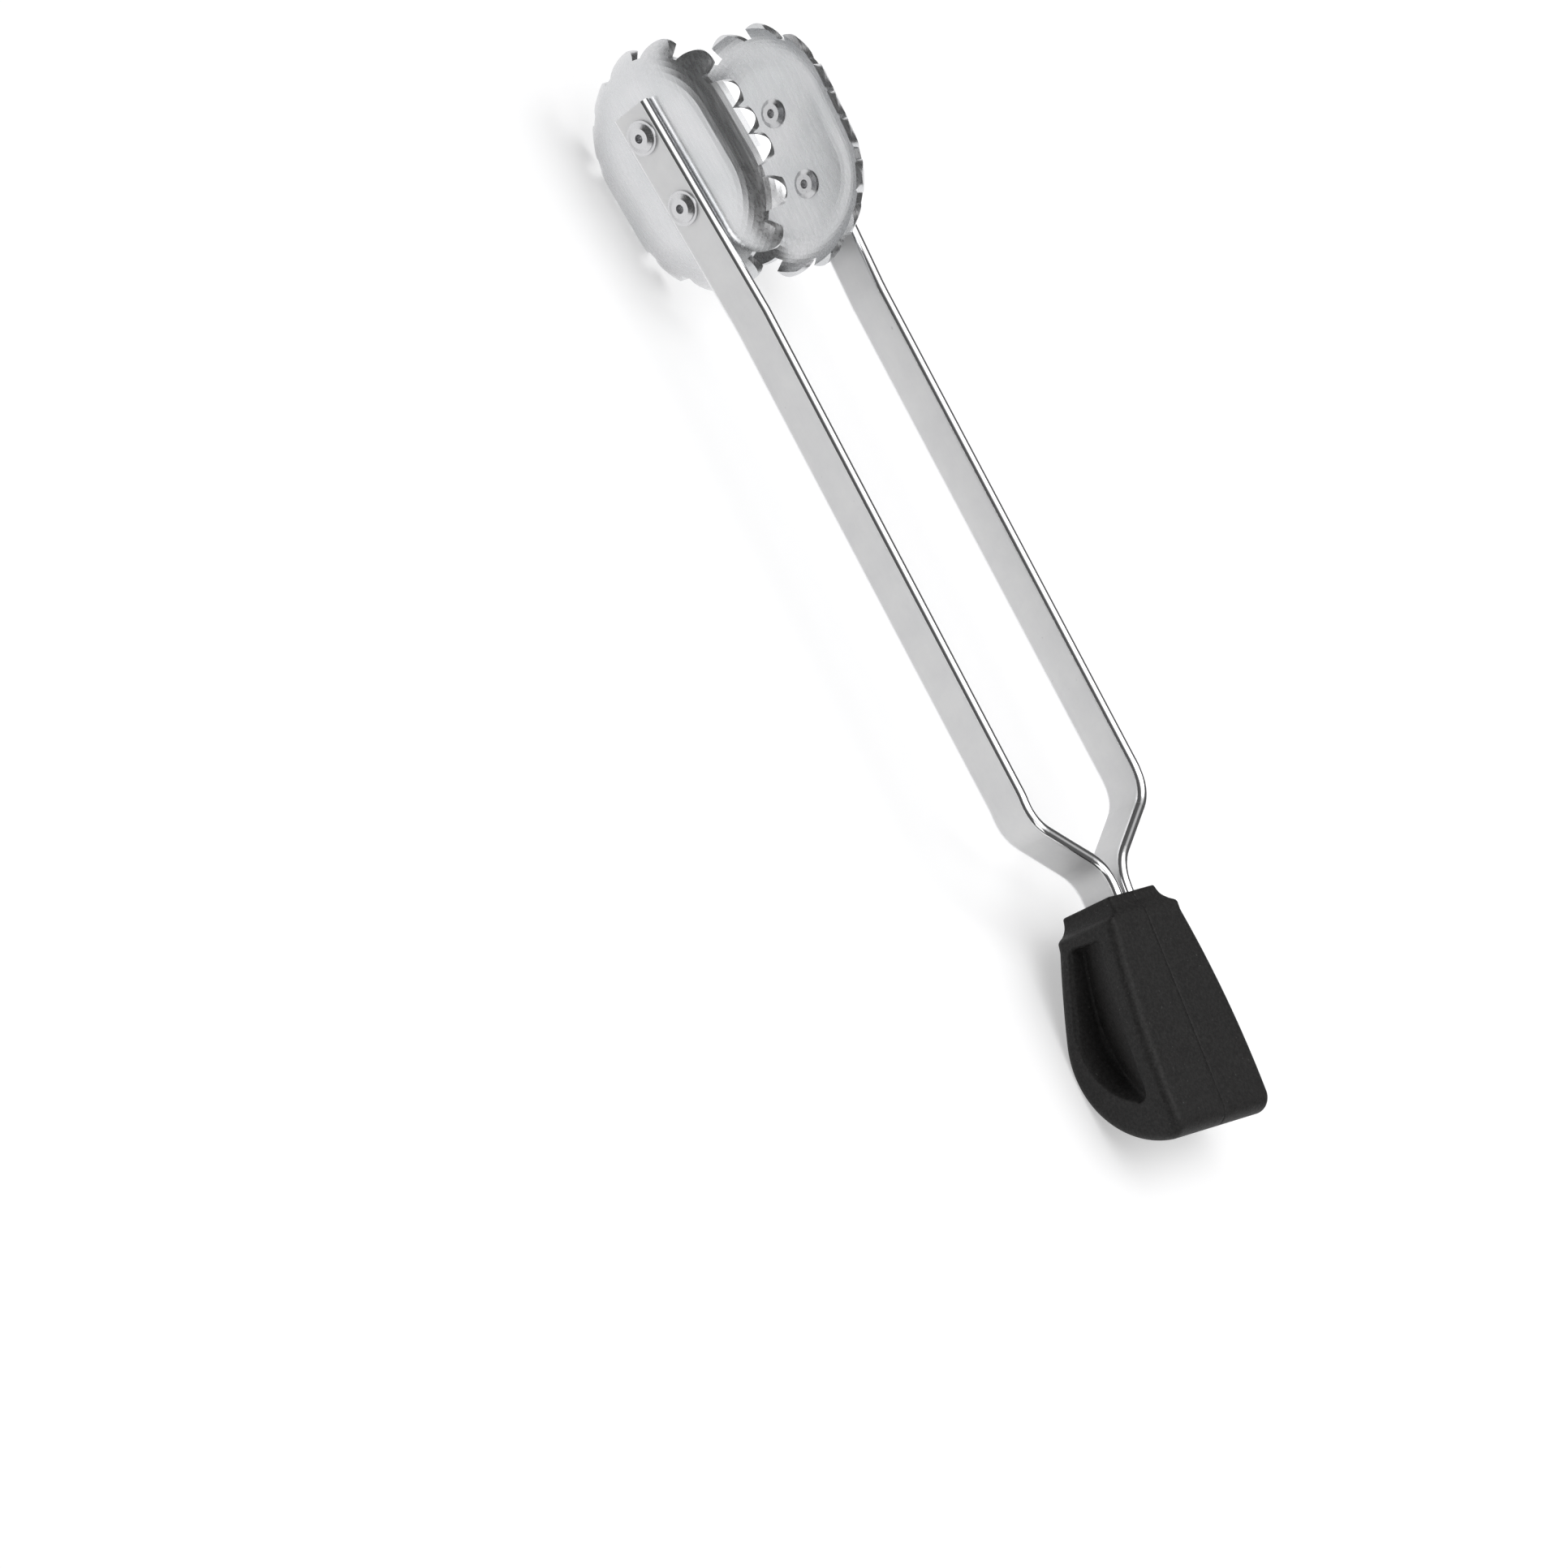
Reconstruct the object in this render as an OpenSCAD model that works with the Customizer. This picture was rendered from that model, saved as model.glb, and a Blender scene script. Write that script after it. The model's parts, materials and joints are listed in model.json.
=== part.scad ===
// Spring loaded kitchen tongs: two flat steel arms that swing in a black foot.
// Frame: +X runs down the arms to the foot, +Y across the arms, +Z up.
// The tongs lie on their side, on the heel of the foot and the rims of the heads.

/* [Arms] */
// Width of the strip the arms are bent from
strip_width = 9.4; // [8:0.2:11]
// Thickness of the strip, which is also the diameter of its rounded edges
strip_thickness = 2.5; // [2:0.1:2.8]
// Distance between the middles of the two parallel arms
arm_spacing = 36; // [32:1:40]
// Length of the straight arm, from the neck to the small bend at the head
arm_straight = 106; // [90:0.5:130]
// Length of strip behind each head, from the small bend to the head's middle
head_distance = 33; // [30:1:40]

/* [Neck] */
// Gap between the two strips where they enter the foot
neck_gap = 1.2; // [1.2:0.1:1.6]
// Angle at which each strip turns in towards the foot
neck_angle = 52.5; // [45:0.5:58]
// Bend radius at the top of the neck, to the middle of the strip
upper_bend = 8; // [6:0.5:9]
// Bend radius at the mouth of the foot, to the middle of the strip
lower_bend = 9; // [7:0.5:10]
// Distance from the foot's mouth up to the corner of the lower bend
mouth_to_bend = 5.3; // [5:0.1:6]
// Lean of the neck and foot, away from the line of the arms
foot_lean = 7.5; // [5:0.5:9]

/* [Foot] */
// Radius of the round heel
heel_radius = 20.2; // [19:0.1:21]
// Distance from the foot's mouth to the middle of the heel's circle
heel_distance = 28.6; // [27:0.1:30]
// Height of the front face above the arms' middle
front_height = 7.3; // [7:0.1:8]
// Half width of the foot at its widest
foot_half_width = 15.2; // [14:0.1:16]
// Half width of the collar round the mouth
collar_half_width = 7.4; // [7.2:0.1:8]
// Depth of the scoop in each side
scoop_depth = 5; // [4:0.1:6]

/* [Hinge] */
// Distance from the foot's mouth to the hinge pins
pin_distance = 6; // [5.5:0.1:7]
// Radius of each hinge pin
pin_radius = 1.1; // [1:0.05:1.2]
// Running clearance between a pin and its bushing
pin_clearance = 0.05; // [0.02:0.01:0.08]
// Outer radius of the eye at the root of each arm
eye_radius = 2.9; // [2.7:0.05:3]
// Diameter of the spring wire
wire_diameter = 0.7; // [0.6:0.05:0.7]
// Angle through which each arm closes
closing_angle = 4; // [3.5:0.1:4]

/* [Heads] */
// Width of each head, across its lobes
head_width = 39.4; // [38:0.2:41]
// Length added in the middle of each head to make it oblong
head_stretch = 12; // [8:1:16]
// Thickness of the head's sheet
head_sheet = 1.2; // [1:0.1:1.5]
// Depth of the dished head
head_depth = 6; // [5:0.2:7]
// Number of lobes round each half circle of the rim
half_lobes = 6; // [5:1:7]
// Radius of each lobe
lobe_radius = 3.4; // [3:0.1:4]

/* [Hidden] */
$fn = 64;

// Small overlap that joins touching solids of one piece
lap = 0.05;
// Growth of the strip's section in its bends
bend_swell = 0.01;
// A length beyond every part, for shapes that only cut
far = 80;
// Gap left beside a part that moves
play = 0.25;

// Distances from the middle plane, Y = 0
arm_y = arm_spacing / 2;
root_y = (neck_gap + strip_thickness) / 2;
pin_y = neck_gap / 2 + eye_radius;

// Neck corners, along the foot's own axis from its mouth
root_end = 1.6;
upper_tangent = upper_bend * tan(neck_angle / 2);
lower_tangent = lower_bend * tan(neck_angle / 2);
lower_corner = -mouth_to_bend;
upper_corner = lower_corner - (arm_y - root_y) / tan(neck_angle);
neck_run = (arm_y - root_y) / sin(neck_angle) - upper_tangent - lower_tangent;
neck_start = upper_corner - upper_tangent;

// Edgewise bend where the straight arm meets the leaning neck, in the arm's own frame
edge_bend = 12;
bend_lead = 0.5;
edge_end = neck_start - bend_lead;
arm_x = edge_end * cos(foot_lean) - edge_bend * sin(foot_lean);
arm_z = edge_bend * (1 - cos(foot_lean)) - edge_end * sin(foot_lean);

// Small bend that lets the closed heads lie flat on each other
kink_bend = 20;
kink_x = arm_x - arm_straight - kink_bend * sin(closing_angle);

// Outline of the foot, along its own axis
rim_x = 0.4;
shoulder_x = 4.6;
collar_front = 5.9;
collar_back = -6.9;
shoulder_back = -7.6;

collar_lap = 0.8;
rim_land = 0.5;
bulge_front = 0.4;
bulge_back = 0.2;
heel_drop = 0.4;
cove_radius = 3.4;
heel_height = front_height - heel_drop;
back_slope = 14.4;
side_radius = 160;
widest_x = 41.6;
corner_radius = 2;
tip_radius = 3.4;
heel_end = heel_distance + heel_radius;

// Scoop in each side: a round back wall, a straight front, and a floor that slopes
scoop_x = 25.2;
scoop_height = 6.6;
scoop_radius = 15.7;
scoop_start = 7.6;
scoop_low = -4;
scoop_front = 3;
scoop_corner = 1.2;
scoop_slope = 22;
scoop_hinge = 11.2;
scoop_room = 3;

// The whole part is moved so that it stands on Z = 0 and is centred on X = 0
rest_height = head_width / 2 - arm_z;
foot_tip = 48.113;
head_half = head_width / 2 + head_stretch / 2;
head_tip = kink_x - (head_distance + head_half) * cos(closing_angle);
centre_x = -(foot_tip + head_tip) / 2;

// Hinge stack, as heights along the pins
eye_low = -1.2;
eye_high = 3.2;
clearance = 0.3;
cheek_thickness = 0.8;
cheek_high = eye_high + clearance;
cheek_low = -4.8 - cheek_thickness;
cheek_radius = 2.6;
bushing_wall = 0.5;
bushing_radius = pin_radius + bushing_wall;
pin_head_radius = 1.9;
pin_head_height = 0.7;
groove_offset = 0.45;
groove_height = 0.35;
ring_thickness = 0.31;
ring_radius = 2.1;
ring_bite = 0.2;
ring_play = 0.02;
web_x = 11.2;
web_thickness = 0.8;
tail_length = 11.6;
tail_width = 6;
tail_thickness = 1.2;
chamber_start = 2.8;
chamber_low = -6.4;
chamber_high = 5.3;
web_room = 1.2;
tail_room = 0.5;
spring_mean = 2.1;
spring_top = eye_low - clearance;
spring_turns = 3;
steps_per_turn = 24;
wire_sides = 8;
tang_height = 1.6;
spring_pitch = wire_diameter + 0.08;

// Screws that clamp the two shells together, across the foot
screw_places = [[17, 0], [31, -1.5]];
screw_radius = 1.2;
screw_head_radius = 2.1;
screw_seat = 7;
screw_reach = 6;
screw_play = 0.15;
tail_play = 0.2;
screw_rim = 1;
screw_crown = 0.6;
screw_bevel = 0.5;
hex_floor = 0.4;
hex_radius = 1.1;
insert_radius = 2;
insert_length = 5.5;
insert_depth = 6.6;

// Dish of each head: a flat middle, and a wall that curves up round it
flat_radius = 10;
flare_radius = 10.75;
flare_angle = 66;
flare_steps = 11;
lobe_root = 0.6;

// Strip beyond each head's middle, and the rivets that hold the head on it
strip_overrun = 14;
rivet_places = [-8, 8];
rivet_radius = 1.5;
rivet_bore = 0.9;
rivet_flange = 2.9;
rivet_crown = 2;
rivet_rim = 0.3;
rivet_flange_height = 0.8;
washer_radius = 3.5;
washer_thickness = 0.5;

steel = [0.80, 0.80, 0.80];
satin_steel = [0.72, 0.73, 0.74];
spring_steel = [0.55, 0.56, 0.58];
brass = [0.78, 0.62, 0.32];
black_rubber = [0.12, 0.12, 0.12];

// ---- Frames -------------------------------------------------------------

// From the arms' frame, with the foot's mouth at zero, to the part's frame
module arm_frame() {
    translate([centre_x, 0, rest_height]) children();
}

// From the foot's own leaning frame to the part's frame
module foot_frame() {
    arm_frame() rotate([0, foot_lean, 0]) children();
}

// From the neck end of the left straight arm, above its edgewise bend, to the foot's frame
module left_straight_frame() {
    foot_frame() translate([edge_end, -arm_y, -edge_bend]) rotate([0, -foot_lean, 0])
        translate([0, 0, edge_bend]) children();
}

// From the frame of the left strip behind its head to the part's frame
module left_end_frame() {
    left_straight_frame() translate([-arm_straight, -kink_bend, 0])
        rotate([0, 0, closing_angle]) translate([0, kink_bend, 0]) children();
}

module mirrored() {
    mirror([0, 1, 0]) children();
}

// ---- Arms ---------------------------------------------------------------

// Section of the strip, flat faces and fully rounded edges, with a little added all round
module strip_section(extra = 0) {
    flat = strip_width - strip_thickness;
    thickness = strip_thickness + 2 * extra;
    square([thickness, flat], center = true);
    for (side = [-1, 1]) translate([0, side * flat / 2]) circle(d = thickness);
}

module strip_run(length) {
    rotate([90, 0, 90]) linear_extrude(length) strip_section();
}

module strip_bend(radius, angle) {
    rotate_extrude(angle = angle, $fn = 128) translate([radius, 0]) strip_section(bend_swell);
}

// Half of a round disc, as wide and as thick as the strip
module strip_round_end() {
    rotate_extrude(angle = 180) intersection() {
        rotate(90) strip_section();
        translate([0, -strip_thickness]) square([strip_width, 2 * strip_thickness]);
    }
}

// Neck of the left arm, in the foot's frame
module left_neck() {
    translate([edge_end - lap, -arm_y, 0]) strip_run(neck_start - edge_end + 2 * lap);
    translate([neck_start, upper_bend - arm_y, 0]) {
        rotate([0, 0, -90]) strip_bend(upper_bend, neck_angle);
        rotate([0, 0, neck_angle]) translate([0, -upper_bend, 0]) {
            translate([-lap, 0, 0]) strip_run(neck_run + 2 * lap);
            translate([neck_run, -lower_bend, 0]) rotate([0, 0, -neck_angle]) {
                rotate([0, 0, 90]) strip_bend(lower_bend, neck_angle);
                translate([-lap, lower_bend, 0])
                    strip_run(root_end - lower_corner - lower_tangent + lap);
            }
        }
    }
}

// Narrow tongue and eye inside the foot, which turn on the hinge pin
module left_eye() {
    eye_height = eye_high - eye_low;
    // The tang's hole leads by half the closing angle, so that the tang stays clear in it
    tang_x = pin_distance + spring_mean * sin(closing_angle / 2);
    difference() {
        union() {
            translate([1, -root_y - strip_thickness / 2, eye_low])
                cube([pin_distance - 1, strip_thickness, eye_height]);
            translate([pin_distance, -pin_y, eye_low]) cylinder(r = eye_radius, h = eye_height);
        }
        translate([pin_distance, -pin_y, eye_low - 1])
            cylinder(r = bushing_radius, h = eye_height + 2);
        translate([tang_x, -pin_y - spring_mean, eye_low - 1])
            cylinder(r = wire_diameter / 2 + 0.1, h = tang_height + 1, $fn = 24);
    }
}

// Straight strip that runs behind the head, with a round end and rivet holes
module left_strip_end() {
    end_length = head_distance + strip_overrun;
    difference() {
        union() {
            translate([-end_length, 0, 0]) strip_run(end_length + lap);
            translate([-end_length, 0, 0]) rotate([90, 90, 0]) strip_round_end();
        }
        for (place = rivet_places) translate([-head_distance + place, 0, 0])
            rotate([90, 0, 0]) cylinder(r = rivet_radius, h = 2 * strip_thickness, center = true);
    }
}

// Straight arm between its edgewise bend at the neck and the small bend at the head
module left_straight() {
    translate([0, 0, -edge_bend]) rotate([90, 0, 0]) rotate([0, 0, 90 - foot_lean])
        rotate_extrude(angle = foot_lean, $fn = 128)
            translate([edge_bend, 0]) rotate(90) strip_section(bend_swell);
    translate([-arm_straight - lap, 0, 0]) strip_run(arm_straight + 2 * lap);
    translate([-arm_straight, -kink_bend, 0])
        rotate([0, 0, 90]) strip_bend(kink_bend, closing_angle);
}

module left_arm_shape() {
    left_straight_frame() left_straight();
    foot_frame() left_neck();
    foot_frame() left_eye();
    left_end_frame() left_strip_end();
}

module left_arm() { color(steel) left_arm_shape(); }
module right_arm() { color(steel) mirrored() left_arm_shape(); }

// ---- Heads --------------------------------------------------------------

// Half section of the dished sheet: a flat bottom and a flared wall
function flare(offset) = [
    for (step = [0:flare_steps]) let (angle = flare_angle * step / flare_steps)
        [flat_radius + (flare_radius - offset) * sin(angle),
         flare_radius * (1 - cos(angle)) + offset * cos(angle)]
];

module dish_section() {
    inner = flare(head_sheet);
    polygon(concat(
        [[0, 0]], flare(0), [for (i = [flare_steps:-1:0]) inner[i]], [[0, head_sheet]]
    ));
}

// Oblong dish: two half turns of the section and a straight stretch between
module dish() {
    half = head_stretch / 2;
    translate([half, 0, 0]) rotate([0, 0, -90])
        rotate_extrude(angle = 180, $fn = 128) dish_section();
    translate([-half, 0, 0]) rotate([0, 0, 90])
        rotate_extrude(angle = 180, $fn = 128) dish_section();
    for (side = [0, 1]) mirror([0, side, 0])
        translate([-half, 0, 0]) rotate([90, 0, 90])
            linear_extrude(head_stretch) dish_section();
}

// Rim outline seen from above: an oblong with lobes all round
module lobed_outline() {
    half = head_stretch / 2;
    reach = head_width / 2 - lobe_radius;
    for (side = [-1, 1]) {
        translate([side * half, 0]) circle(r = reach + lobe_root);
        for (lobe = [0:half_lobes]) {
            angle = 90 - 180 * lobe / half_lobes;
            translate([side * (half + reach * cos(angle)), reach * sin(angle)])
                circle(r = lobe_radius, $fn = 32);
        }
    }
    square([head_stretch, 2 * (reach + lobe_root)], center = true);
    for (side = [-1, 1]) translate([0, side * reach]) circle(r = lobe_radius, $fn = 32);
}

// Left head in the frame of its strip: the dish opens towards the other arm
module left_head_shape() {
    left_end_frame() translate([-head_distance, strip_thickness / 2, 0]) rotate([-90, 0, 0])
        difference() {
            intersection() {
                dish();
                translate([0, 0, -1]) linear_extrude(2 * head_depth) lobed_outline();
            }
            for (place = rivet_places) translate([place, 0, -1])
                cylinder(r = rivet_radius, h = 4);
        }
}

module left_head() { color(satin_steel) left_head_shape(); }
module right_head() { color(satin_steel) mirrored() left_head_shape(); }

// Tubular rivet: a hollow shank with a rolled flange at each end
module rivet() {
    inner_end = strip_thickness / 2 + head_sheet;
    outer_end = -strip_thickness / 2 - washer_thickness;
    rotate([-90, 0, 0]) difference() {
        union() {
            translate([0, 0, outer_end - rivet_rim])
                cylinder(r = rivet_radius, h = inner_end - outer_end + 2 * rivet_rim);
            for (end = [inner_end, outer_end]) mirror([0, 0, end < 0 ? 1 : 0])
                translate([0, 0, abs(end)]) {
                    cylinder(r = rivet_flange, h = rivet_rim);
                    translate([0, 0, rivet_rim]) cylinder(
                        r1 = rivet_flange, r2 = rivet_crown, h = rivet_flange_height - rivet_rim
                    );
                }
        }
        translate([0, 0, outer_end - 2]) cylinder(r = rivet_bore, h = inner_end - outer_end + 4);
    }
}

module left_rivets_shape() {
    left_end_frame() for (place = rivet_places) translate([-head_distance + place, 0, 0]) rivet();
}

module left_head_rivets() { color(satin_steel) left_rivets_shape(); }
module right_head_rivets() { color(satin_steel) mirrored() left_rivets_shape(); }

// Thin washer under the outer flange of each rivet
module left_washers_shape() {
    left_end_frame() for (place = rivet_places)
        translate([-head_distance + place, -strip_thickness / 2, 0]) rotate([90, 0, 0])
            difference() {
                cylinder(r = washer_radius, h = washer_thickness);
                translate([0, 0, -1]) cylinder(r = rivet_radius, h = 3);
            }
}

module left_rivet_washers() { color(spring_steel) left_washers_shape(); }
module right_rivet_washers() { color(spring_steel) mirrored() left_washers_shape(); }

// ---- Foot shells --------------------------------------------------------

// Side view of the foot: X along its axis, Y up
module foot_profile() {
    heel = [heel_distance, heel_height];
    back_start = shoulder_back + (shoulder_x - collar_lap + tip_radius) * tan(back_slope);
    intersection() {
        offset(tip_radius) offset(-tip_radius) intersection() {
            hull() {
                translate(heel) circle(r = heel_radius, $fn = 160);
                translate([-tip_radius, back_start])
                    square([tip_radius, front_height - back_start]);
            }
            translate([-tip_radius, -far]) square([far, far + front_height]);
        }
        translate([shoulder_x - collar_lap, -far]) square(2 * far);
    }
    // Collar, slightly hollow in front and behind
    middle_x = (rim_x + shoulder_x) / 2;
    polygon([
        [rim_x, collar_back], [middle_x, collar_back - bulge_back], [shoulder_x, shoulder_back],
        [shoulder_x, front_height], [middle_x, collar_front + bulge_front], [rim_x, collar_front]
    ]);
}

// Front view of the foot: bulged sides, and a hollow sided collar at the mouth
module foot_plan() {
    cove_start = rim_x + rim_land;
    cove_end = cove_start + cove_radius;
    cove_y = collar_half_width + cove_radius;
    intersection() {
        offset(corner_radius) offset(-corner_radius) intersection() {
            translate([widest_x, foot_half_width - side_radius]) circle(r = side_radius, $fn = 360);
            translate([widest_x, side_radius - foot_half_width]) circle(r = side_radius, $fn = 360);
            translate([-corner_radius, -far]) square([heel_end + 2 * corner_radius, 2 * far]);
        }
        translate([cove_end - lap, -far]) square(2 * far);
    }
    difference() {
        translate([rim_x, -cove_y]) square([cove_end - rim_x, 2 * cove_y]);
        for (side = [-1, 1]) translate([cove_start, side * cove_y]) circle(r = cove_radius);
    }
}

// Outline of the scoop in the side of the foot: straight in front, round behind
module scoop_outline() {
    offset(scoop_corner) offset(-scoop_corner) intersection() {
        hull() {
            translate([scoop_x, scoop_height]) circle(r = scoop_radius, $fn = 96);
            for (end = [scoop_low, scoop_front]) translate([scoop_start, end])
                circle(r = scoop_corner, $fn = 24);
        }
        translate([0, scoop_front - far]) square([far, far]);
    }
}

// Space cut out of the left side, deepest at the back
module left_scoop() {
    intersection() {
        translate([0, -foot_half_width, 0]) rotate([-90, 0, 0]) mirror([0, 1, 0])
            linear_extrude(scoop_depth + scoop_room) scoop_outline();
        translate([0, -scoop_hinge, scoop_front]) rotate([scoop_slope, 0, 0])
            translate([0, -far, -far / 2]) cube(far);
    }
}

module foot_body() {
    intersection() {
        translate([0, far / 2, 0]) rotate([90, 0, 0]) linear_extrude(far) foot_profile();
        translate([0, 0, -far / 2]) linear_extrude(far) foot_plan();
    }
}

// Everything that the shells leave room for round the hinge
module hinge_space() {
    slot = root_y + strip_thickness / 2 + play;
    translate([0, -slot, -strip_width / 2 - play])
        cube([chamber_start + lap, 2 * slot, strip_width + 2 * play]);
    half = pin_y + eye_radius + clearance;
    translate([chamber_start, -half, chamber_low])
        cube([web_x + web_room - chamber_start, 2 * half, chamber_high - chamber_low]);
    translate([web_x, -tail_thickness / 2 - lap, -tail_width / 2 - lap])
        cube([tail_length + tail_room, tail_thickness + 2 * lap, tail_width + 2 * lap]);
}

// One half of the foot, on the side given by the sign
module foot_half(side) {
    foot_frame() difference() {
        intersection() {
            foot_body();
            translate([0, side < 0 ? -far : 0, -far / 2]) cube(far);
        }
        hinge_space();
        mirror([0, side < 0 ? 0 : 1, 0]) left_scoop();
        for (place = screw_places) translate([place[0], 0, place[1]]) rotate([-90, 0, 0]) {
            if (side < 0) translate([0, 0, -insert_depth])
                cylinder(r = insert_radius, h = insert_depth + 1);
            if (side > 0) translate([0, 0, -1]) cylinder(r = screw_radius + screw_play, h = far);
            if (side > 0) translate([0, 0, screw_seat])
                cylinder(r = screw_head_radius + clearance, h = far);
        }
    }
}

// Small flat on the heel that the foot rests on
module above_floor() {
    intersection() {
        children();
        translate([0, -far, 0]) cube([2 * far, 2 * far, far]);
    }
}

module foot_left_shell() { color(black_rubber) above_floor() foot_half(-1); }
module foot_right_shell() { color(black_rubber) above_floor() foot_half(1); }

// ---- Hinge --------------------------------------------------------------

// Bent steel carrier: two cheeks, a web, and a tail held by the front screw
module hinge_carrier() {
    cheek_half = pin_y + cheek_radius;
    cheek_end = web_x + web_thickness;
    color(steel) foot_frame() difference() {
        union() {
            for (low = [cheek_low, cheek_high]) translate([0, 0, low]) {
                for (side = [-1, 1]) translate([pin_distance, side * pin_y, 0])
                    cylinder(r = cheek_radius, h = cheek_thickness);
                translate([pin_distance - cheek_radius, -pin_y, 0])
                    cube([cheek_end - pin_distance + cheek_radius, 2 * pin_y, cheek_thickness]);
                translate([pin_distance, -cheek_half, 0])
                    cube([cheek_end - pin_distance, 2 * cheek_half, cheek_thickness]);
            }
            translate([web_x, -cheek_half, cheek_low])
                cube([web_thickness, 2 * cheek_half, cheek_high + cheek_thickness - cheek_low]);
            translate([web_x + web_thickness / 2, -tail_thickness / 2, -tail_width / 2])
                cube([tail_length, tail_thickness, tail_width]);
        }
        for (side = [-1, 1]) translate([pin_distance, side * pin_y, -far / 2])
            cylinder(r = pin_radius, h = far);
        translate([screw_places[0][0], 0, screw_places[0][1]]) rotate([90, 0, 0])
            cylinder(r = screw_radius + tail_play, h = 2 * tail_thickness, center = true);
    }
}

// Pin with a flat head above the upper cheek and a ring groove at its foot
module left_pin_shape() {
    low = cheek_low - groove_offset - 0.25;
    high = cheek_high + cheek_thickness;
    foot_frame() translate([pin_distance, -pin_y, 0]) difference() {
        union() {
            translate([0, 0, low]) cylinder(r = pin_radius, h = high - low + lap);
            translate([0, 0, high]) cylinder(r = pin_head_radius, h = pin_head_height);
        }
        translate([0, 0, cheek_low - groove_offset]) difference() {
            cylinder(r = pin_radius + 1, h = groove_height);
            translate([0, 0, -1]) cylinder(r = pin_radius - 0.25, h = 3);
        }
    }
}

module left_hinge_pin() { color(steel) left_pin_shape(); }
module right_hinge_pin() { color(steel) mirrored() left_pin_shape(); }

// Open ring in each pin's groove, under the lower cheek
module pin_retaining_rings() {
    color(spring_steel) foot_frame() for (side = [-1, 1])
        translate([pin_distance, side * pin_y, cheek_low - groove_offset + ring_play]) difference() {
            cylinder(r = ring_radius, h = ring_thickness);
            translate([0, 0, -1]) cylinder(r = pin_radius - ring_bite, h = 3);
            translate([-ring_radius / 4, 0, -1]) cube([ring_radius / 2, 2 * ring_radius, 3]);
        }
}

module left_bushing_shape() {
    foot_frame() translate([pin_distance, -pin_y, eye_low]) difference() {
        cylinder(r = bushing_radius, h = eye_high - eye_low);
        translate([0, 0, -1])
            cylinder(r = pin_radius + pin_clearance, h = eye_high - eye_low + 2);
    }
}

module left_bushing() { color(brass) left_bushing_shape(); }
module right_bushing() { color(brass) mirrored() left_bushing_shape(); }

// Points of a ring round the wire, spanned by two directions across it
function wire_ring(centre, out, up) = [
    for (i = [0:wire_sides - 1]) let (turn = -360 * i / wire_sides)
        centre + wire_diameter / 2 * (cos(turn) * out + sin(turn) * up)
];

// Ring at one angle along the coil, which drops by its pitch in each turn
function coil_ring(angle) = let (out = [cos(angle), sin(angle), 0]) wire_ring(
    spring_mean * out - [0, 0, spring_pitch * (angle + 90) / 360], out, [0, 0, 1]
);

// Spring wire: a tang up into the arm's eye, the coil, and a leg out to the web
module left_spring_wire() {
    start = [0, -spring_mean, 0];
    leg_end = [web_x - pin_distance - lap, -spring_mean, -spring_pitch * spring_turns];
    coil_steps = steps_per_turn * spring_turns;
    rings = concat(
        [
            wire_ring(start + [0, 0, tang_height], [0, -1, 0], [1, 0, 0]),
            wire_ring(start, [0, -1, 0], [1, 0, 1])
        ],
        [for (step = [1:coil_steps]) coil_ring(360 * step / steps_per_turn - 90)],
        [wire_ring(leg_end, [0, -1, 0], [0, 0, 1])]
    );
    walls = [
        for (ring = [0:len(rings) - 2], i = [0:wire_sides - 1]) let (
            a = ring * wire_sides + i,
            b = ring * wire_sides + (i + 1) % wire_sides
        ) each [[a, a + wire_sides, b + wire_sides], [a, b + wire_sides, b]]
    ];
    first_cap = [for (i = [0:wire_sides - 1]) i];
    last_cap = [for (i = [wire_sides - 1:-1:0]) (len(rings) - 1) * wire_sides + i];
    polyhedron(
        [for (ring = rings) each ring],
        concat([first_cap], walls, [last_cap]), convexity = 8
    );
}

module left_spring_shape() {
    foot_frame() translate([pin_distance, -pin_y, spring_top - wire_diameter / 2])
        left_spring_wire();
}

module left_torsion_spring() { color(spring_steel) left_spring_shape(); }
module right_torsion_spring() { color(spring_steel) mirrored() left_spring_shape(); }

// ---- Shell fasteners ----------------------------------------------------

module threaded_inserts() {
    color(brass) foot_frame() for (place = screw_places)
        translate([place[0], 0.1 - insert_depth, place[1]]) rotate([-90, 0, 0]) difference() {
            cylinder(r = insert_radius, h = insert_length);
            translate([0, 0, -1]) cylinder(r = screw_radius, h = 2 * insert_length);
        }
}

// Pan head screws with a hexagonal socket
module shell_screws() {
    color(spring_steel) foot_frame() for (place = screw_places)
        translate([place[0], 0, place[1]]) rotate([-90, 0, 0]) difference() {
            union() {
                translate([0, 0, -screw_reach])
                    cylinder(r = screw_radius, h = screw_seat + screw_reach + lap);
                translate([0, 0, screw_seat]) cylinder(r = screw_head_radius, h = screw_rim);
                translate([0, 0, screw_seat + screw_rim]) cylinder(
                    r1 = screw_head_radius, r2 = screw_head_radius - screw_bevel, h = screw_crown);
            }
            translate([0, 0, screw_seat + hex_floor]) cylinder(r = hex_radius, h = 2, $fn = 6);
        }
}

// ---- Assembly -----------------------------------------------------------

foot_left_shell();
foot_right_shell();
hinge_carrier();
left_hinge_pin();
right_hinge_pin();
pin_retaining_rings();
left_bushing();
right_bushing();
left_torsion_spring();
right_torsion_spring();
threaded_inserts();
shell_screws();
left_arm();
right_arm();
left_head();
right_head();
left_head_rivets();
right_head_rivets();
left_rivet_washers();
right_rivet_washers();
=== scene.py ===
"""Spring loaded kitchen tongs on a pale floor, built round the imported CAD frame."""
import json
import math

import bmesh
import bpy
import numpy as np
from mathutils import Matrix, Vector


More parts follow.
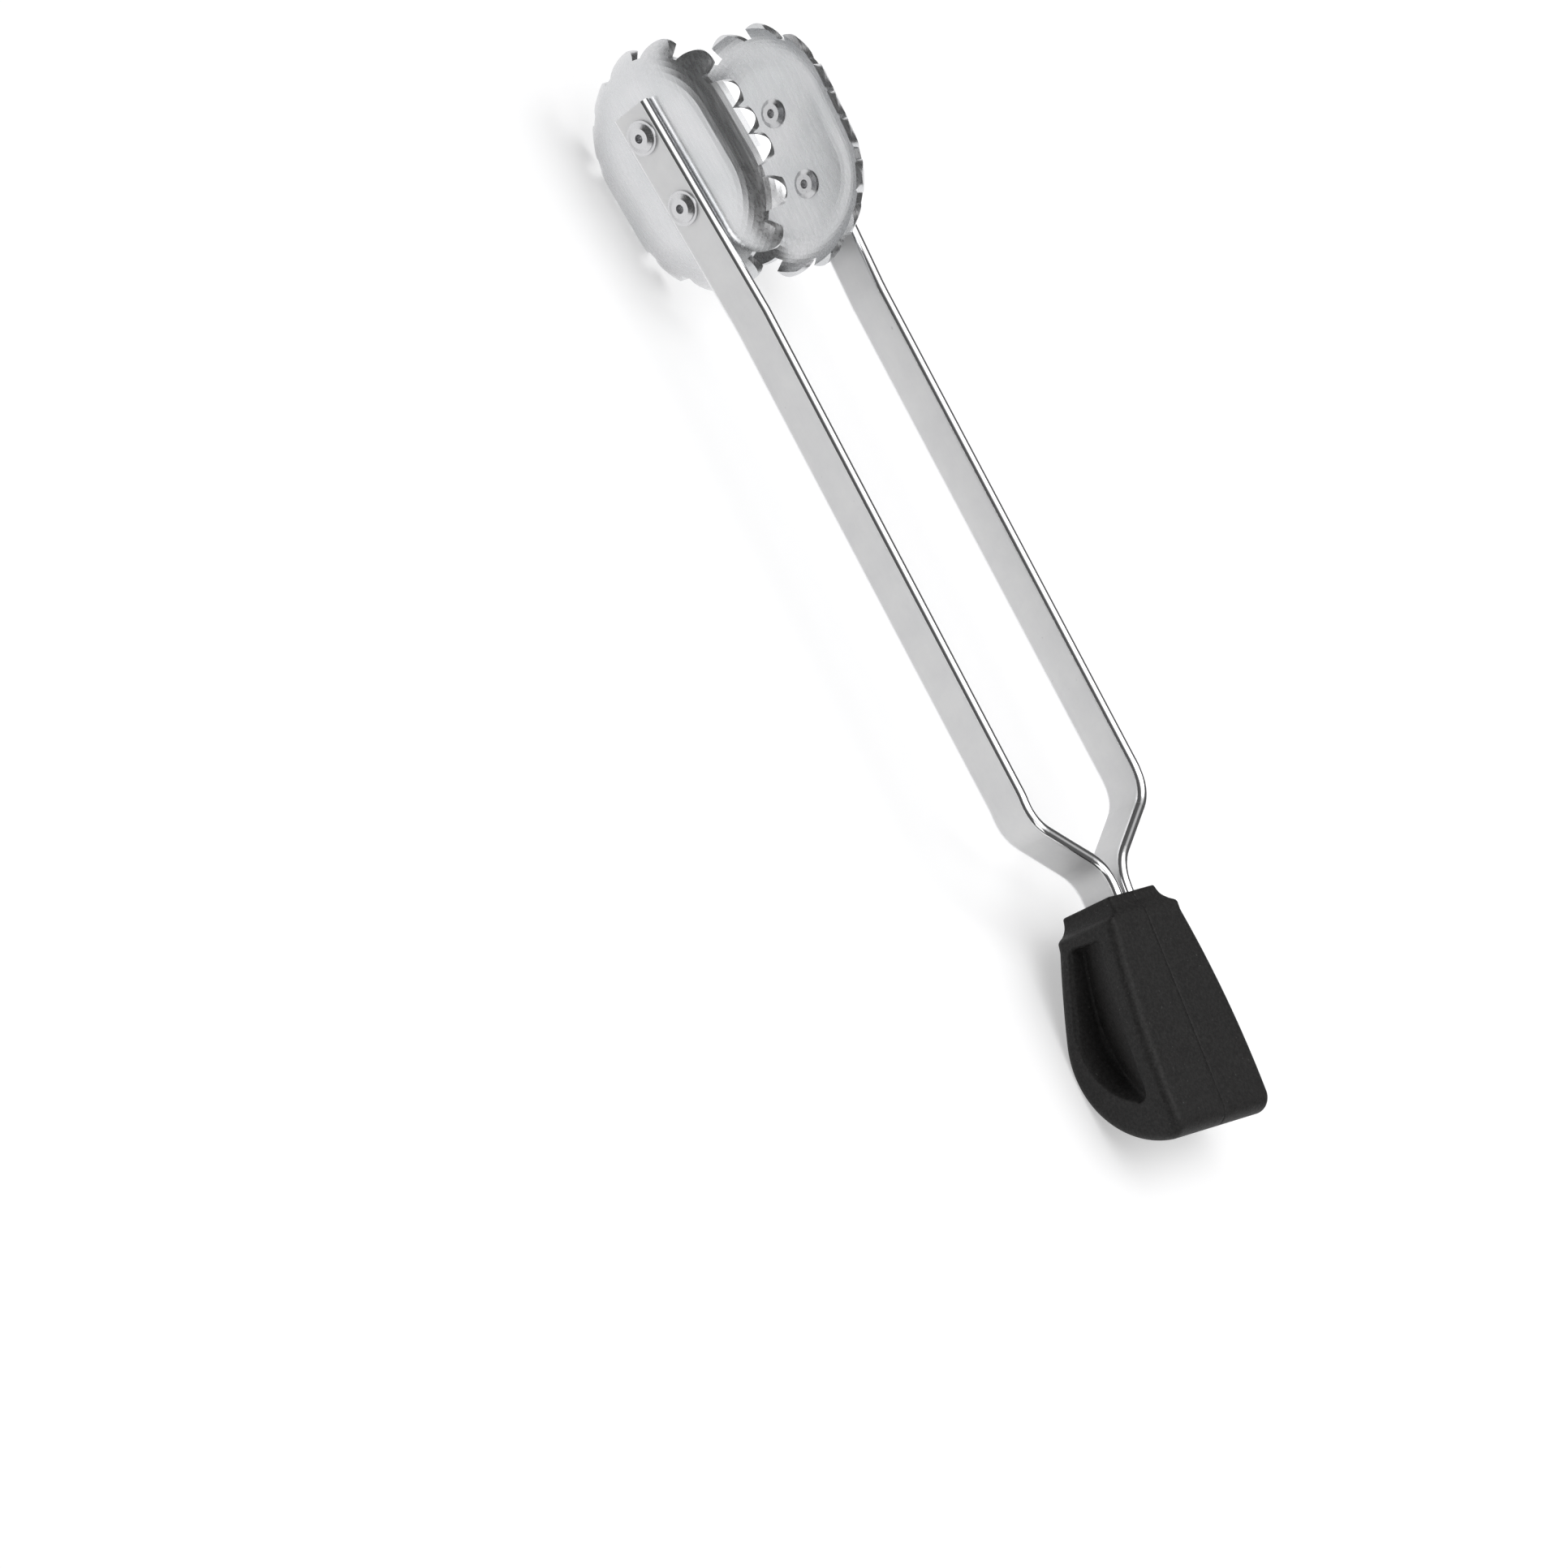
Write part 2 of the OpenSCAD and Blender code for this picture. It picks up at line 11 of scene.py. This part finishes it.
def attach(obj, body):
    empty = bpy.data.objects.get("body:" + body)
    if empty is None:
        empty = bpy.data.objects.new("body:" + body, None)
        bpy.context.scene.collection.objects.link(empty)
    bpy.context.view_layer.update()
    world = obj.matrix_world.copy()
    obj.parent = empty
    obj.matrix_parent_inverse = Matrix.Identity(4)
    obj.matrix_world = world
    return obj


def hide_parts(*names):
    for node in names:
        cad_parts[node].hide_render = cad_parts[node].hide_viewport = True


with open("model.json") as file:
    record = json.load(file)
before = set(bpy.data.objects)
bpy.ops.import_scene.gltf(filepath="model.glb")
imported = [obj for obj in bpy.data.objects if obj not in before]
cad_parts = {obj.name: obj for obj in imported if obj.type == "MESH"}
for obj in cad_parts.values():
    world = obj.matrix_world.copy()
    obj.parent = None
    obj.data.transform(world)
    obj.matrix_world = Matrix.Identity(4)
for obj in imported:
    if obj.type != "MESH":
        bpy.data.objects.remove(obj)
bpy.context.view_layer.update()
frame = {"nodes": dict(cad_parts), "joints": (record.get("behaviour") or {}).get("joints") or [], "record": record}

MM = 0.001
JOINTS = {joint["name"]: joint for joint in frame["joints"]}
LEFT_PIN = Vector(JOINTS["left_arm_close"]["pos_m"])
PIN_AXIS = -Vector(JOINTS["left_arm_close"]["axis"])


# ---- The foot's own frame -------------------------------------------------

PIN_DISTANCE = 6 * MM
FOOT_X = Vector((PIN_AXIS.z, 0, -PIN_AXIS.x)).normalized()
FOOT_Z = PIN_AXIS.normalized()
MOUTH = Vector((LEFT_PIN.x, 0, LEFT_PIN.z)) - PIN_DISTANCE * FOOT_X


def from_foot(points):
    """Turns points in the foot's frame, in millimetres, into the part's frame."""
    axes = np.array([FOOT_X, (0, 1, 0), FOOT_Z])
    return np.array(MOUTH) + MM * np.asarray(points, float) @ axes


# ---- Camera ---------------------------------------------------------------

CAMERA_AZIMUTH = math.radians(14.0)
CAMERA_ELEVATION = math.radians(38.0)
CAMERA_ROLL = math.radians(53.7)
PICTURE_WIDTH = 0.3019
LENS = 250.0
SENSOR = 36.0
AIM_RIGHT = -0.0626
AIM_UP = 0.0221


def make_camera():
    """Long lens turned about the line of sight, aimed beside the foot's mouth."""
    azimuth, elevation, roll = CAMERA_AZIMUTH, CAMERA_ELEVATION, CAMERA_ROLL
    towards = Vector((
        math.sin(azimuth) * math.cos(elevation),
        -math.cos(azimuth) * math.cos(elevation),
        math.sin(elevation),
    ))
    level_right = Vector((math.cos(azimuth), math.sin(azimuth), 0))
    level_up = towards.cross(level_right)
    right = math.cos(roll) * level_right + math.sin(roll) * level_up
    up = math.cos(roll) * level_up - math.sin(roll) * level_right
    aim = MOUTH + AIM_RIGHT * right + AIM_UP * up
    data = bpy.data.cameras.new("camera")
    data.lens = LENS
    data.sensor_width = SENSOR
    data.clip_end = 50
    camera = bpy.data.objects.new("camera", data)
    distance = PICTURE_WIDTH * LENS / SENSOR
    basis = Matrix((right, up, towards)).transposed().to_4x4()
    camera.matrix_world = Matrix.Translation(aim + distance * towards) @ basis
    bpy.context.scene.collection.objects.link(camera)
    bpy.context.scene.camera = camera


make_camera()


# ---- Materials ------------------------------------------------------------

class Shader:
    """Small helper that builds one material's nodes."""

    def __init__(self, name):
        self.material = bpy.data.materials.new(name)
        self.material.use_nodes = True
        self.nodes = self.material.node_tree.nodes
        self.links = self.material.node_tree.links
        self.surface = self.nodes["Principled BSDF"]
        self.place = self.add("ShaderNodeTexCoord").outputs["Object"]

    def add(self, kind, **settings):
        node = self.nodes.new(kind)
        for key, value in settings.items():
            setattr(node, key, value)
        return node

    def set(self, **values):
        for key, value in values.items():
            self.surface.inputs[key.replace("_", " ")].default_value = value

    def link(self, output, socket):
        self.links.new(output, socket)

    def noise(self, scale, detail=3.0, stretch=(1, 1, 1), roughness=0.5):
        mapping = self.add("ShaderNodeMapping")
        mapping.inputs["Scale"].default_value = stretch
        self.link(self.place, mapping.inputs["Vector"])
        noise = self.add("ShaderNodeTexNoise")
        noise.inputs["Scale"].default_value = scale
        noise.inputs["Detail"].default_value = detail
        noise.inputs["Roughness"].default_value = roughness
        self.link(mapping.outputs["Vector"], noise.inputs["Vector"])
        return noise.outputs["Fac"]

    def ramp(self, value, low, high, start, end):
        node = self.add("ShaderNodeMapRange")
        node.inputs["From Min"].default_value = low
        node.inputs["From Max"].default_value = high
        node.inputs["To Min"].default_value = start
        node.inputs["To Max"].default_value = end
        self.link(value, node.inputs["Value"])
        return node.outputs["Result"]

    def colours(self, value, first, second):
        node = self.add("ShaderNodeMix", data_type="RGBA")
        node.inputs["A"].default_value = (*first, 1)
        node.inputs["B"].default_value = (*second, 1)
        self.link(value, node.inputs["Factor"])
        return node.outputs["Result"]

    def bump(self, height, strength, distance, before=None):
        node = self.add("ShaderNodeBump")
        node.inputs["Strength"].default_value = strength
        node.inputs["Distance"].default_value = distance
        self.link(height, node.inputs["Height"])
        if before is not None:
            self.link(before, node.inputs["Normal"])
        return node.outputs["Normal"]


FACE_DARK, FACE_LIGHT = (0.675, 0.675, 0.68), (0.715, 0.715, 0.715)
FACE_METAL = 0.58
FACE_ROUGH_LOW, FACE_ROUGH_HIGH = 0.42, 0.50
PIT_COLOUR = (0.50, 0.50, 0.51, 1)
# Paler colour for the rounded edges: a painted highlight
EDGE_PAINTED_HIGHLIGHT_COLOUR = (0.86, 0.86, 0.87, 1)
EDGE_ROUGH = 0.10
EDGE_SLANT_LOW, EDGE_SLANT_HIGH = 0.16, 0.34


def polished_steel():
    """The strips: satin on the flat faces, bright on the rounded edges, where the polish is real and the paler
    colour is a painted highlight.
    """
    shader = Shader("polished_steel")
    mottle = shader.noise(140, 5, roughness=0.65)
    lines = shader.noise(2600, 2, stretch=(0.02, 1, 1))
    pits = shader.noise(700, 1)
    colour = shader.colours(shader.ramp(mottle, 0.35, 0.65, 0, 1), FACE_DARK, FACE_LIGHT)
    spots = shader.add("ShaderNodeMix", data_type="RGBA")
    spots.inputs["B"].default_value = PIT_COLOUR
    shader.link(colour, spots.inputs["A"])
    shader.link(shader.ramp(pits, 0.79, 0.86, 0, 1), spots.inputs["Factor"])
    # The rounded edges are polished and the flat faces are satin; the edges' paler colour on top of that is a
    # painted highlight
    split = shader.add("ShaderNodeSeparateXYZ")
    shader.link(shader.add("ShaderNodeNewGeometry").outputs["Normal"], split.inputs["Vector"])
    slant = shader.add("ShaderNodeMath", operation="ABSOLUTE")
    shader.link(split.outputs["Z"], slant.inputs[0])
    edge = shader.ramp(slant.outputs["Value"], EDGE_SLANT_LOW, EDGE_SLANT_HIGH, 0, 1)
    # Mixes the painted highlight colour onto the edges, by how far the normal leans from straight up or down
    painted_edge_highlight = shader.add("ShaderNodeMix", data_type="RGBA")
    painted_edge_highlight.inputs["B"].default_value = EDGE_PAINTED_HIGHLIGHT_COLOUR
    shader.link(spots.outputs["Result"], painted_edge_highlight.inputs["A"])
    shader.link(edge, painted_edge_highlight.inputs["Factor"])
    shader.link(painted_edge_highlight.outputs["Result"], shader.surface.inputs["Base Color"])
    rough = shader.add("ShaderNodeMix", data_type="FLOAT")
    rough.inputs["B"].default_value = EDGE_ROUGH
    face_rough = shader.ramp(lines, 0.3, 0.7, FACE_ROUGH_LOW, FACE_ROUGH_HIGH)
    shader.link(face_rough, rough.inputs["A"])
    shader.link(edge, rough.inputs["Factor"])
    shader.link(rough.outputs["Result"], shader.surface.inputs["Roughness"])
    shader.link(shader.ramp(edge, 0, 1, FACE_METAL, 1.0), shader.surface.inputs["Metallic"])
    normal = shader.bump(lines, 0.05, 0.00002)
    normal = shader.bump(mottle, 0.10, 0.0001, normal)
    shader.link(normal, shader.surface.inputs["Normal"])
    return shader.material


SATIN_DARK, SATIN_LIGHT = (0.62, 0.63, 0.64), (0.70, 0.70, 0.71)


def satin_steel():
    """The heads: brushed along their length."""
    shader = Shader("satin_steel")
    shader.set(Metallic=1.0)
    lines = shader.noise(2200, 3, stretch=(0.03, 1, 1))
    cloud = shader.noise(60, 4)
    colour = shader.colours(shader.ramp(cloud, 0.35, 0.65, 0, 1), SATIN_DARK, SATIN_LIGHT)
    shader.link(colour, shader.surface.inputs["Base Color"])
    shader.link(shader.ramp(lines, 0.3, 0.7, 0.22, 0.34), shader.surface.inputs["Roughness"])
    shader.link(shader.bump(lines, 0.12, 0.00003), shader.surface.inputs["Normal"])
    return shader.material


METAL_SHADE = 0.86


def plain_metal(name, colour, low, high, bump):
    """A turned or drawn metal with a fine grain, rough between low and high."""
    shader = Shader(name)
    shader.set(Metallic=1.0)
    grain = shader.noise(1500, 3)
    shade = tuple(METAL_SHADE * channel for channel in colour)
    shader.link(shader.colours(grain, shade, colour), shader.surface.inputs["Base Color"])
    shader.link(shader.ramp(grain, 0.3, 0.7, low, high), shader.surface.inputs["Roughness"])
    shader.link(shader.bump(grain, bump, 0.00003), shader.surface.inputs["Normal"])
    return shader.material


RUBBER_DARK, RUBBER_LIGHT = (0.0062, 0.0058, 0.0056), (0.0095, 0.0090, 0.0088)
SPECKLE_COLOUR = (0.026, 0.025, 0.0245, 1)
DUST_COLOUR = (0.055, 0.055, 0.053, 1)
RUBBER_SHINE = 0.27


def black_rubber():
    """Moulded rubber with a fine grain, paler speckles and some dust."""
    shader = Shader("black_rubber")
    shader.set(Metallic=0.0, Specular_IOR_Level=RUBBER_SHINE)
    cloud = shader.noise(70, 4)
    grain = shader.noise(2600, 3, roughness=0.7)
    specks = shader.noise(1900, 0)
    colour = shader.colours(shader.ramp(cloud, 0.3, 0.7, 0, 1), RUBBER_DARK, RUBBER_LIGHT)
    speckle = shader.ramp(shader.noise(1500, 4, roughness=0.75), 0.40, 0.64, 0, 0.75)
    grey = shader.add("ShaderNodeMix", data_type="RGBA")
    grey.inputs["B"].default_value = SPECKLE_COLOUR
    shader.link(colour, grey.inputs["A"])
    shader.link(speckle, grey.inputs["Factor"])
    colour = grey.outputs["Result"]
    dust = shader.add("ShaderNodeMix", data_type="RGBA")
    dust.inputs["B"].default_value = DUST_COLOUR
    shader.link(colour, dust.inputs["A"])
    shader.link(shader.ramp(specks, 0.80, 0.86, 0, 1), dust.inputs["Factor"])
    shader.link(dust.outputs["Result"], shader.surface.inputs["Base Color"])
    shader.link(shader.ramp(grain, 0.3, 0.7, 0.50, 0.66), shader.surface.inputs["Roughness"])
    swirl = shader.noise(420, 2, stretch=(1, 1, 0.25))
    normal = shader.bump(grain, 0.95, 0.00012)
    normal = shader.bump(swirl, 0.22, 0.00012, normal)
    shader.link(normal, shader.surface.inputs["Normal"])
    return shader.material


STEEL = polished_steel()
SATIN = satin_steel()
BRIGHT = plain_metal("bright_steel", (0.66, 0.66, 0.67), 0.18, 0.30, 0.1)
SPRING = plain_metal("spring_steel", (0.40, 0.41, 0.43), 0.25, 0.40, 0.1)
BRASS = plain_metal("turned_brass", (0.72, 0.55, 0.27), 0.22, 0.34, 0.1)
RUBBER = black_rubber()

SLOT_MATERIALS = {
    "rubber": RUBBER, "polished_steel": STEEL, "satin_steel": SATIN,
    "bright_steel": BRIGHT, "spring_steel": SPRING, "brass": BRASS,
}
for subpart in frame["record"]["subparts"]:
    node = frame["nodes"][subpart["node"]]
    node.data.materials.clear()
    node.data.materials.append(SLOT_MATERIALS[subpart["material_slot"]])


def mesh_piece(name, points, faces, body, material):
    """Links a new mesh, given in the part's frame in metres, that rides on a body."""
    mesh = bpy.data.meshes.new(name)
    mesh.from_pydata([tuple(point) for point in points], [], faces)
    work = bmesh.new()
    work.from_mesh(mesh)
    bmesh.ops.remove_doubles(work, verts=work.verts, dist=1e-7)
    bmesh.ops.recalc_face_normals(work, faces=work.faces)
    work.to_mesh(mesh)
    work.free()
    mesh.materials.append(material)
    for polygon in mesh.polygons:
        polygon.use_smooth = True
    piece = bpy.data.objects.new(name, mesh)
    bpy.context.scene.collection.objects.link(piece)
    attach(piece, body)
    return piece


def ring_faces(rows, count):
    """Quads between successive closed rows of points."""
    faces = []
    for row in range(rows - 1):
        for i in range(count):
            a, b = row * count + i, row * count + (i + 1) % count
            faces.append((a, b, b + count, a + count))
    return faces


# ---- Foot shells ----------------------------------------------------------

COLLAR_FRONT, COLLAR_BACK = 5.9, -6.9
SHOULDER_X, RIM_X = 4.6, 0.4
FRONT_Z, SHOULDER_BACK = 7.3, -7.6
HEEL = (28.6, 6.9)
HEEL_RADIUS = 20.2
FOOT_HALF_WIDTH, SIDE_RADIUS, WIDEST_X = 15.2, 160.0, 41.6
COLLAR_HALF_WIDTH = 7.4
COVE_START = 0.95
COVE = 3.4
EDGE = 1.9
RIM_EDGE = 0.5
TIP_RADIUS = 3.4
COLLAR_BULGE_FRONT, COLLAR_BULGE_BACK = 0.35, 0.22
# Points of the rounded shoulders, measured from each shoulder's corner
FRONT_SHOULDER = ((-0.7, -0.35), (-0.1, -0.08), (0.7, 0.0))
BACK_SHOULDER = ((0.4, -0.1), (-0.3, 0.1))
SCREWS = ((17.0, 0.0), (31.0, -1.5))
RECESS_RADIUS = 2.4
RECESS_SNAP = 0.2
SCREW_SEAT = 7.0


def arc(centre, radius, start, end, count):
    angles = np.radians(np.linspace(start, end, count))
    return [(centre[0] + radius * math.cos(a), centre[1] + radius * math.sin(a)) for a in angles]


def resample(points, spacing):
    """Points at an even spacing round a closed outline."""
    points = np.asarray(points, float)
    points = np.vstack([points, points[:1]])
    steps = np.hypot(*np.diff(points, axis=0).T)
    keep = np.concatenate([[True], steps > 1e-6])
    points = points[keep]
    along = np.concatenate([[0], np.cumsum(np.hypot(*np.diff(points, axis=0).T))])
    count = int(round(along[-1] / spacing))
    places = np.linspace(0, along[-1], count, endpoint=False)
    return np.stack([np.interp(places, along, points[:, k]) for k in (0, 1)], 1)


def foot_outline():
    """Side view of the foot, clockwise from the collar's front corner."""
    reach = math.sqrt((HEEL_RADIUS - TIP_RADIUS) ** 2 - (FRONT_Z - TIP_RADIUS - HEEL[1]) ** 2)
    tip = (HEEL[0] + reach, FRONT_Z - TIP_RADIUS)
    turn = math.degrees(math.atan2(tip[1] - HEEL[1], tip[0] - HEEL[0]))
    back_shoulder = [(SHOULDER_X + x, SHOULDER_BACK + z) for x, z in BACK_SHOULDER]
    back = back_shoulder[-1]
    gap = math.hypot(back[0] - HEEL[0], back[1] - HEEL[1])
    towards = math.degrees(math.atan2(back[1] - HEEL[1], back[0] - HEEL[0])) % 360
    tangent = towards + math.degrees(math.acos(HEEL_RADIUS / gap))
    middle = (RIM_X + SHOULDER_X) / 2
    points = [(RIM_X + RIM_EDGE, COLLAR_FRONT), (middle, COLLAR_FRONT + COLLAR_BULGE_FRONT)]
    points += [(SHOULDER_X + x, FRONT_Z + z) for x, z in FRONT_SHOULDER]
    points += arc(tip, TIP_RADIUS, 90, turn, 16)
    points += arc(HEEL, HEEL_RADIUS, turn, tangent - 360, 90)
    points += back_shoulder
    points.append((middle, COLLAR_BACK - COLLAR_BULGE_BACK))
    points += arc((RIM_X + RIM_EDGE, COLLAR_BACK + RIM_EDGE), RIM_EDGE, 270, 180, 5)
    points += arc((RIM_X + RIM_EDGE, COLLAR_FRONT - RIM_EDGE), RIM_EDGE, 180, 90, 5)
    return np.array(points)


# Arcs of the scoop's rim: centre, radius, first and last angle, number of points
SCOOP_ARCS = (
    ((8.6, 1.9), 1.3, 180, 90, 6),
    ((37.4, 0.6), 2.4, 80, -20, 10),
    ((25.2, 6.6), 15.7, -25, -104, 40),
    ((8.4, -3.6), 1.4, 250, 180, 6),
)


def scoop_outline():
    """Teardrop in the side: straight in front, round behind."""
    return np.array([point for part in SCOOP_ARCS for point in arc(*part)])


def distance_to(outline, points):
    """Signed distance from points to a closed outline, positive inside."""
    starts, ends = outline, np.roll(outline, -1, axis=0)
    nearest = np.full(len(points), np.inf)
    inside = np.zeros(len(points), bool)
    for a, b in zip(starts, ends):
        edge = b - a
        length = edge @ edge
        if length < 1e-12:
            continue
        part = np.clip(((points - a) @ edge) / length, 0, 1)
        gaps = np.hypot(*(points - a - part[:, None] * edge).T)
        nearest = np.minimum(nearest, gaps)
        crosses = (a[1] > points[:, 1]) != (b[1] > points[:, 1])
        with np.errstate(divide="ignore", invalid="ignore"):
            meet = a[0] + (points[:, 1] - a[1]) * edge[0] / edge[1]
        inside ^= crosses & (points[:, 0] < meet)
    return np.where(inside, nearest, -nearest)


def soft_min(a, b, radius):
    """The smaller of two heights, with a rounded change from one to the other."""
    blend = np.clip(0.5 + 0.5 * (b - a) / radius, 0, 1)
    return b + (a - b) * blend - radius * blend * (1 - blend)


COVE_SHARE = 0.985
COVE_EXIT_SLOPE = 3
COVE_BLEND = 1.5


def foot_half_width(x):
    """Half width along the foot: the collar, a cove and the bulged side."""
    side = FOOT_HALF_WIDTH - SIDE_RADIUS + np.sqrt(SIDE_RADIUS ** 2 - (x - WIDEST_X) ** 2)
    rise = np.clip(x - COVE_START, 0, COVE_SHARE * COVE)
    cove = COLLAR_HALF_WIDTH + COVE - np.sqrt(COVE ** 2 - rise ** 2)
    cove = cove + np.clip(x - COVE_START - COVE_SHARE * COVE, 0, None) * COVE_EXIT_SLOPE
    return soft_min(side, cove, COVE_BLEND)


SCOOP_SPACING = 0.3
SCOOP_SHALLOW, SCOOP_DEEP = 0.3, 5.8
SCOOP_TOP = 3.4
SCOOP_SINK = 0.06
SCOOP_BLEND = 0.25
RIDGE_HEIGHT, RIDGE_HALF_WIDTH = 0.34, 0.36
LIP_HALF_WIDTH = 0.35


def scoop_cut(points):
    """Depth of the scoop at each point of the side.

    A steep wall stands behind, the floor slopes up to the front, and a fine ridge
    runs where the two meet.
    """
    inner = distance_to(resample(scoop_outline(), SCOOP_SPACING), points)
    wall_slope = np.interp(points[:, 0], [8, 24, 38], [4.0, 3.8, 2.4])
    floor_slope = np.interp(points[:, 0], [8, 34], [0.40, 0.64])
    wall = np.clip(inner, 0, None) * wall_slope
    floor = SCOOP_SHALLOW + np.clip(SCOOP_TOP - points[:, 1], 0, None) * floor_slope
    floor = np.minimum(floor, SCOOP_DEEP)
    crease = (wall - floor) / wall_slope
    ridge = RIDGE_HEIGHT * np.exp(-(crease / RIDGE_HALF_WIDTH) ** 2)
    depth = soft_min(wall, floor, SCOOP_BLEND) + SCOOP_SINK - ridge
    lip = np.clip((inner + LIP_HALF_WIDTH) / (2 * LIP_HALF_WIDTH), 0, 1)
    return np.clip(depth, 0, None) * lip * lip * (3 - 2 * lip)


def screw_recesses(flat, height):
    """Sinks a round recess over each shell screw, with its wall on a clean circle."""
    for place in SCREWS:
        gap = flat - np.array(place)
        radius = np.hypot(*gap.T)
        near = np.abs(radius - RECESS_RADIUS) < RECESS_SNAP
        scale = np.where(near, RECESS_RADIUS / np.maximum(radius, 1e-6), 1)
        flat = np.array(place) + gap * scale[:, None]
        inside = ~near & (radius < RECESS_RADIUS)
        height = np.where(inside, np.minimum(height, SCREW_SEAT), height)
    return flat, height


OUTLINE_SPACING = 0.33
# Inset and height of the rows where the two halves meet: a flange, a groove and its bevel
SEAM_ROWS = ((0.9, 0.0), (0.16, 0.0), (0.05, 0.10), (0.0, 0.22))
SEAM_HEIGHT = SEAM_ROWS[-1][1]
# Line along the middle of each side, where its rows of points end
SPINE_X, SPINE_Z = (3.0, 33.0), (-0.5, -1.0)
EDGE_BLEND_LEAD, EDGE_BLEND_LENGTH = 1, 3
WALL_START, WALL_END, WALL_ROWS = 0.05, 0.97, 26
EDGE_ROWS = 11
PAST_EDGE_ROWS = 5
SIDE_ROWS = 52


def foot_shell(side, name, node):
    """One half of the foot: the seam groove, the wall, the rounded edge and the side."""
    outline = resample(foot_outline(), OUTLINE_SPACING)
    spine_x = np.clip(outline[:, 0], *SPINE_X)
    spine = np.stack([spine_x, np.interp(spine_x, SPINE_X, SPINE_Z)], 1)
    centre = spine - outline
    reach = np.hypot(*centre.T)
    inwards = centre / reach[:, None]
    blend = (outline[:, 0] - SHOULDER_X + EDGE_BLEND_LEAD) / EDGE_BLEND_LENGTH
    blend = np.clip(blend, 0, 1)
    edge = RIM_EDGE * (1 - blend) + EDGE * blend

    rows = []
    for inset, height in SEAM_ROWS:
        flat = outline + inset * inwards
        rows.append(np.column_stack([flat[:, 0], np.full(len(flat), height), flat[:, 1]]))
    top = foot_half_width(outline[:, 0]) - edge
    for share in np.linspace(WALL_START, WALL_END, WALL_ROWS):
        height = SEAM_HEIGHT + (top - SEAM_HEIGHT) * share
        rows.append(np.column_stack([outline[:, 0], height, outline[:, 1]]))

    # Rows close together over the rounded edge, then spread out to the spine
    rounded = 2 * EDGE
    edge_steps = np.concatenate([
        1 - np.cos(np.linspace(0, math.pi / 2, EDGE_ROWS)),
        np.linspace(1, 2, PAST_EDGE_ROWS)[1:],
    ]) * EDGE
    steps = np.concatenate([edge_steps, np.linspace(rounded, reach.max(), SIDE_ROWS)[1:]])
    for step in steps:
        along = step
        if step > rounded:
            along = rounded + (reach - rounded) * (step - rounded) / (reach.max() - rounded)
        flat = outline + np.minimum(along, reach)[:, None] * inwards
        gap = np.clip(distance_to(outline, flat), 0, None)
        short = np.clip(edge - gap, 0, edge)
        drop = edge - np.sqrt(np.clip(edge ** 2 - short ** 2, 0, None))
        height = foot_half_width(flat[:, 0]) - drop - scoop_cut(flat)
        if side > 0:
            flat, height = screw_recesses(flat, height)
        rows.append(np.column_stack([flat[:, 0], height, flat[:, 1]]))

    points = np.vstack(rows)
    points[:, 1] *= side
    placed = from_foot(points)
    placed[:, 2] = np.clip(placed[:, 2], 0, None)
    faces = ring_faces(len(rows), len(outline))
    piece = mesh_piece(name, placed, faces, "foot", RUBBER)
    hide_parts(node)


foot_shell(-1, "foot_left_cover", "foot_left_shell")
foot_shell(1, "foot_right_cover", "foot_right_shell")


# ---- Floor and light ------------------------------------------------------

FLOOR_COLOUR = (0.62, 0.62, 0.625, 1)
FLOOR_GLOW = 0.46
FLOOR_REACH = 3.0


def make_floor():
    """A pale floor that glows a little, so that the shadows stay light."""
    shader = Shader("floor_white")
    shader.set(Roughness=0.9, Base_Color=FLOOR_COLOUR, Specular_IOR_Level=0.1)
    shader.set(Emission_Color=(1, 1, 1, 1), Emission_Strength=FLOOR_GLOW)
    mesh = bpy.data.meshes.new("floor")
    signs = ((-1, -1), (1, -1), (1, 1), (-1, 1))
    corners = [(FLOOR_REACH * x, FLOOR_REACH * y, 0) for x, y in signs]
    mesh.from_pydata(corners, [], [(0, 1, 2, 3)])
    mesh.materials.append(shader.material)
    floor = bpy.data.objects.new("floor", mesh)
    bpy.context.scene.collection.objects.link(floor)


def soft_light(name, place, size, power):
    """A rectangular soft box that faces the middle of the floor."""
    data = bpy.data.lights.new(name, "AREA")
    data.shape = "RECTANGLE"
    data.size, data.size_y = size
    data.energy = power
    light = bpy.data.objects.new(name, data)
    light.location = place
    light.rotation_euler = (-Vector(place)).to_track_quat("-Z", "Y").to_euler()
    bpy.context.scene.collection.objects.link(light)


WORLD_LEVELS = ((0.0, 0.10), (0.70, 0.14), (0.84, 1.0), (1.0, 1.0))
WORLD_STRENGTH = 0.8


def make_light():
    """A pale dome, dark below and low down, and two soft boxes."""
    world = bpy.data.worlds.new("studio")
    world.use_nodes = True
    nodes, links = world.node_tree.nodes, world.node_tree.links
    background = nodes["Background"]
    place = nodes.new("ShaderNodeTexCoord")
    split = nodes.new("ShaderNodeSeparateXYZ")
    ramp = nodes.new("ShaderNodeValToRGB")
    links.new(place.outputs["Generated"], split.inputs["Vector"])
    links.new(split.outputs["Z"], ramp.inputs["Fac"])
    links.new(ramp.outputs["Color"], background.inputs["Color"])
    stops = ramp.color_ramp
    for position, level in WORLD_LEVELS[1:-1]:
        stops.elements.new(position)
    for stop, (_, level) in zip(stops.elements, WORLD_LEVELS):
        stop.color = (level, level, level, 1)
    background.inputs["Strength"].default_value = WORLD_STRENGTH
    bpy.context.scene.world = world
    soft_light("top_softbox", (0.1, 0.1, 1.6), (1.8, 1.8), 19)
    soft_light("right_softbox", (1.4, -0.6, 0.9), (0.8, 1.0), 2.7)


make_floor()
make_light()
bpy.context.scene.view_settings.view_transform = "Standard"
